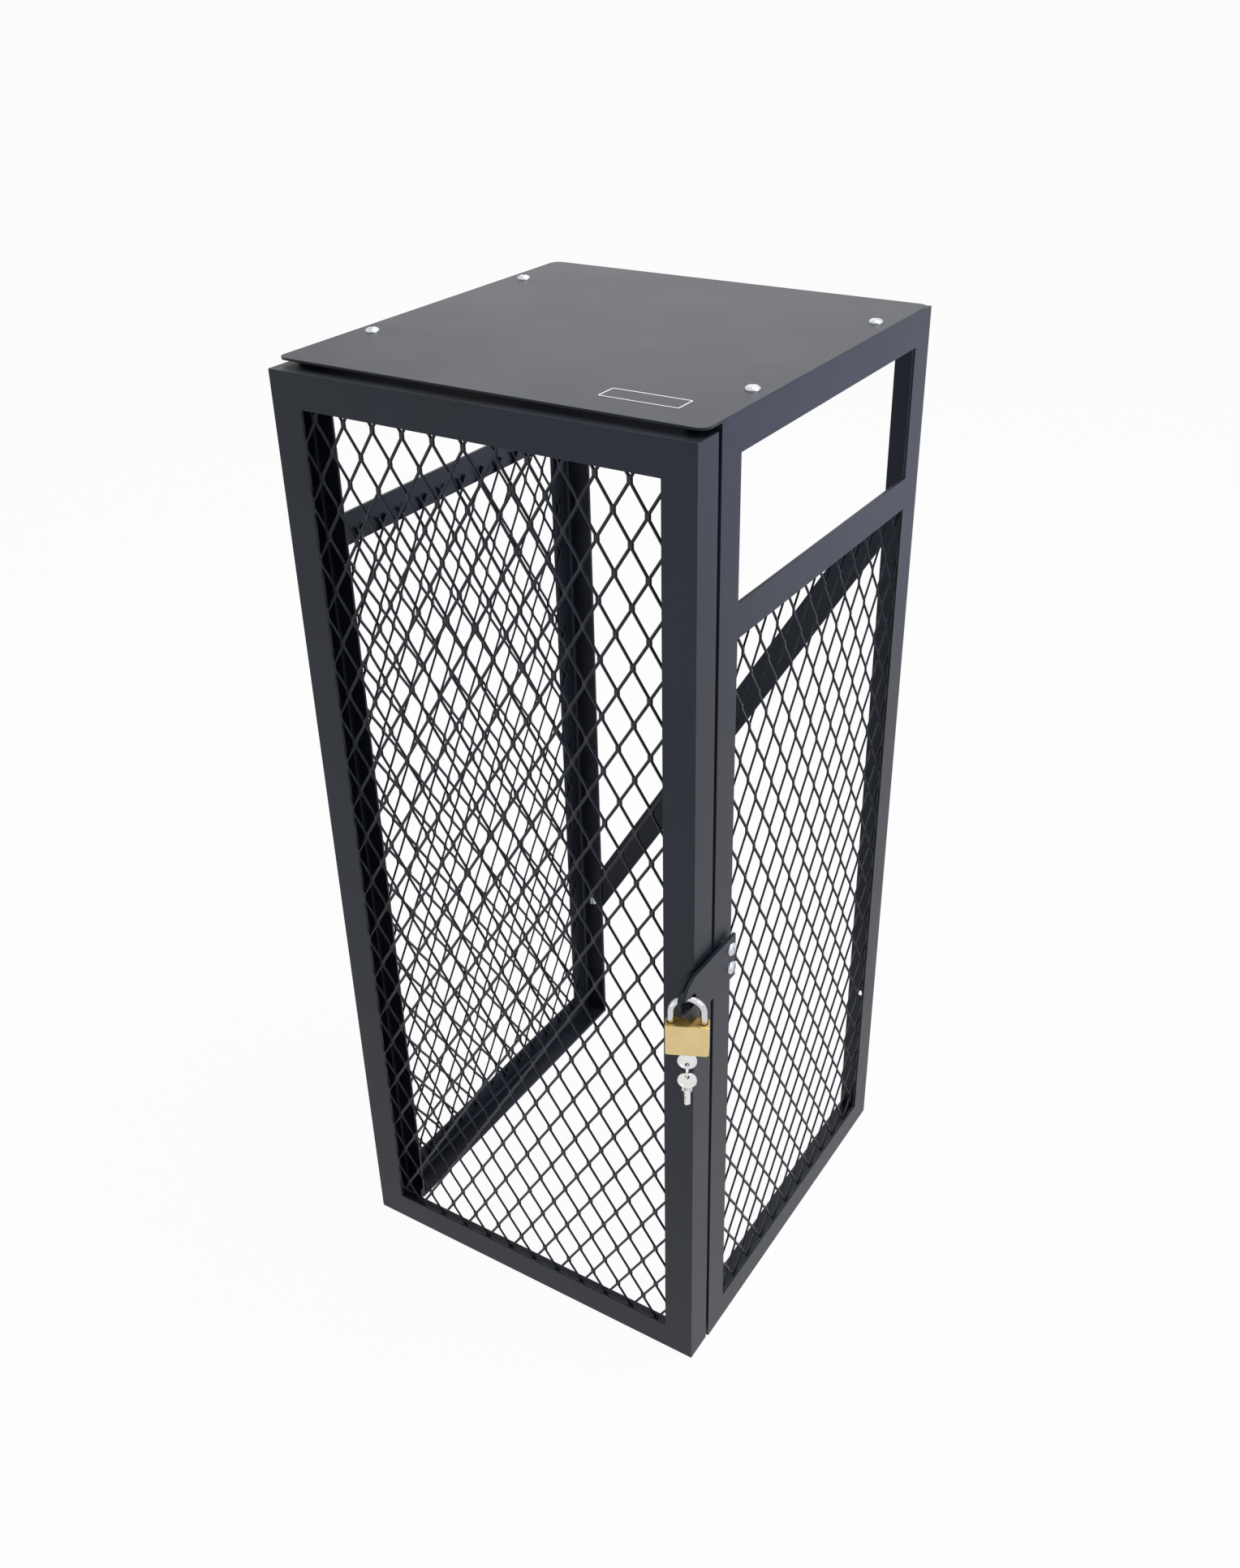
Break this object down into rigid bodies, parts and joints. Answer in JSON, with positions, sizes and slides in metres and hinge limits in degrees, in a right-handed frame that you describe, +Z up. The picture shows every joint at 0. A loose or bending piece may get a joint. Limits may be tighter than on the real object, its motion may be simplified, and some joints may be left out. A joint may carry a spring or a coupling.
{
  "type": "gas cylinder cage",
  "caption": "Upright lockable cage for one gas cylinder: welded angle frame, expanded-metal sides and hinged door, open back with a diagonal brace, flat top sheet, hasp and padlock.",
  "frame": {"origin": "on the floor, midway across the cage and midway between the tip of the hasp in front and the brace bolts behind", "axes": "+Z up, the door faces -Y, +X towards the side with the hasp and padlock"},
  "size_m": [0.4331, 0.4585, 0.9594],
  "materials": {
    "black_paint": "satin black powder coat",
    "zinc_plate": "bright zinc plate",
    "brass": "satin brass",
    "chrome": "polished chrome plate",
    "nickel": "nickel plate"
  },
  "bodies": {
    "frame": {"left_front_post": "black_paint", "left_rear_post": "black_paint", "right_front_post": "black_paint", "right_rear_post": "black_paint", "left_bottom_rail": "black_paint", "right_bottom_rail": "black_paint", "left_top_rail": "black_paint", "right_top_rail": "black_paint", "left_mid_rail": "black_paint", "right_mid_rail": "black_paint", "left_mesh": "black_paint", "right_mesh": "black_paint", "top_sheet": "black_paint", "top_sheet_bolts": "zinc_plate", "rear_brace": "black_paint", "brace_bolts": "zinc_plate", "frame_hinge_halves": "black_paint", "hinge_pins": "zinc_plate", "hasp_plate": "black_paint", "hasp_spacers": "zinc_plate", "hasp_bolts": "zinc_plate"},
    "door": {"door_bottom_rail": "black_paint", "door_top_rail": "black_paint", "door_hinge_stile": "black_paint", "door_lock_stile": "black_paint", "door_mesh": "black_paint", "door_hinge_halves": "black_paint", "door_lock_tab": "black_paint"},
    "padlock": {"padlock_body": "brass", "padlock_shackle": "chrome", "key_in_lock": "nickel", "key_ring": "nickel", "spare_key": "nickel"}
  },
  "joints": [
    {"name": "door_hinge", "type": "hinge", "parent": "frame", "child": "door", "pos_m": [-0.2065, -0.1675, 0.475], "axis": [0, 0, -1], "range_deg": [0, 180]},
    {"name": "padlock_swing", "type": "hinge", "parent": "door", "child": "padlock", "pos_m": [0.2012, -0.213, 0.47125], "axis": [-0.9063, -0.4226, 0], "range_deg": [0, 80]}
  ]
}
